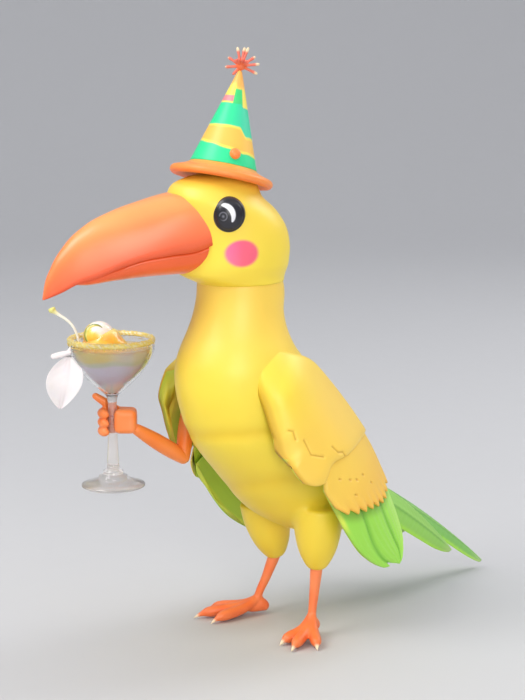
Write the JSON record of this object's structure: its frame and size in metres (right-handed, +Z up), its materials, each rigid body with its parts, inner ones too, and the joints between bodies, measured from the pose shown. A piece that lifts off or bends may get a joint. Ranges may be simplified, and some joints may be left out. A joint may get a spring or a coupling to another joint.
{
  "type": "party bird figurine",
  "caption": "Standing yellow toucan-like bird figure in a cone party hat, holding a cocktail glass in one hand.",
  "frame": {"origin": "on the floor under the middle of the figure's bounding box", "axes": "+Z up; the body faces -Y; the bird's left side is +X; the head looks about 20 degrees to its right"},
  "size_m": [0.0942, 0.2178, 0.2317],
  "materials": {
    "vinyl_yellow": "smooth satin vinyl, sunny yellow",
    "vinyl_green": "satin vinyl, lime green",
    "vinyl_orange": "satin vinyl, orange",
    "beak_orange": "satin vinyl, light orange above and coral below",
    "eye_black": "glossy charcoal with a white catch light and a grey ring",
    "hat_teal": "satin paint in teal, gold and pink bands",
    "hat_orange": "satin vinyl, orange",
    "burst_coral": "coral spikes with pale peach tips",
    "clear_glass": "clear, polished",
    "drink_pink": "clear tinted resin, yellow over lilac over cream",
    "sugar_yellow": "grainy, like coarse sugar",
    "fruit_orange": "glossy, pale on top and orange below",
    "lime_green": "satin, pale lime",
    "leaf_white": "satin, off-white",
    "steel": "plain turned pins",
    "iron": "rough cast"
  },
  "bodies": {
    "torso": {"torso_front": "vinyl_yellow", "torso_rear": "vinyl_yellow", "base_plug": "vinyl_yellow", "ballast_weight": "iron", "neck_pin": "steel", "left_thigh": "vinyl_yellow", "right_thigh": "vinyl_yellow", "left_hip_peg": "steel", "right_hip_peg": "steel", "left_leg": "vinyl_orange", "right_leg": "vinyl_orange", "tail_feather_middle": "vinyl_green", "tail_feather_left": "vinyl_green", "tail_feather_right": "vinyl_green", "shoulder_pin": "steel"},
    "head": {"head_shell": "vinyl_yellow", "neck_bush": "vinyl_yellow", "hat_peg": "hat_orange", "left_eye": "eye_black", "right_eye": "eye_black", "upper_beak": "beak_orange", "jaw_hinge_pin": "steel"},
    "jaw": {"lower_beak": "beak_orange"},
    "hat": {"hat_brim": "hat_orange", "hat_cone": "hat_teal", "hat_button": "hat_orange", "hat_starburst": "burst_coral"},
    "left_wing": {"left_wing_cover": "vinyl_yellow", "left_wing_coverts": "vinyl_yellow", "left_wing_primaries": "vinyl_green", "left_wing_peg": "vinyl_yellow"},
    "right_wing": {"right_wing_cover": "vinyl_yellow", "right_wing_coverts": "vinyl_yellow", "right_wing_primaries": "vinyl_green", "right_wing_peg": "vinyl_yellow"},
    "upper_arm": {"upper_arm": "vinyl_orange", "elbow_pin": "steel"},
    "forearm": {"forearm": "vinyl_orange", "hand": "vinyl_orange"},
    "glass": {"cocktail_glass": "clear_glass", "drink": "drink_pink", "sugar_rim": "sugar_yellow", "fruit_ball": "fruit_orange", "lime_slice": "lime_green", "garnish_stick": "lime_green", "garnish_leaf": "leaf_white"}
  },
  "joints": [
    {"name": "neck_swivel", "type": "hinge", "parent": "torso", "child": "head", "pos_m": [0.0045, -0.0359, 0.146], "axis": [0, 0, 1], "range_deg": [-30, 65]},
    {"name": "jaw_hinge", "type": "hinge", "parent": "head", "child": "jaw", "pos_m": [-0.0008, -0.05047, 0.1585], "axis": [0.9397, -0.342, 0], "range_deg": [0, 8]},
    {"name": "hat_lift", "type": "slide", "parent": "head", "child": "hat", "axis": [-0.0123, 0.2464, 0.9691], "range_m": [0, 0.015]},
    {"name": "left_wing_swing", "type": "hinge", "parent": "torso", "child": "left_wing", "pos_m": [0.0295, -0.0274, 0.101], "axis": [1, 0, 0], "range_deg": [0, 18]},
    {"name": "right_wing_swing", "type": "hinge", "parent": "torso", "child": "right_wing", "pos_m": [-0.0205, -0.0274, 0.101], "axis": [1, 0, 0], "range_deg": [0, 18]},
    {"name": "shoulder_hinge", "type": "hinge", "parent": "torso", "child": "upper_arm", "pos_m": [-0.0222, -0.0399, 0.09], "axis": [-1, 0, 0], "range_deg": [-25, 10]},
    {"name": "elbow_hinge", "type": "hinge", "parent": "upper_arm", "child": "forearm", "pos_m": [-0.0207, -0.0439, 0.07], "axis": [-1, 0, 0], "range_deg": [-30, 0]},
    {"name": "glass_turn", "type": "hinge", "parent": "forearm", "child": "glass", "pos_m": [-0.0295, -0.0719, 0.09], "axis": [0, 0, 1], "range_deg": [-90, 90]}
  ]
}
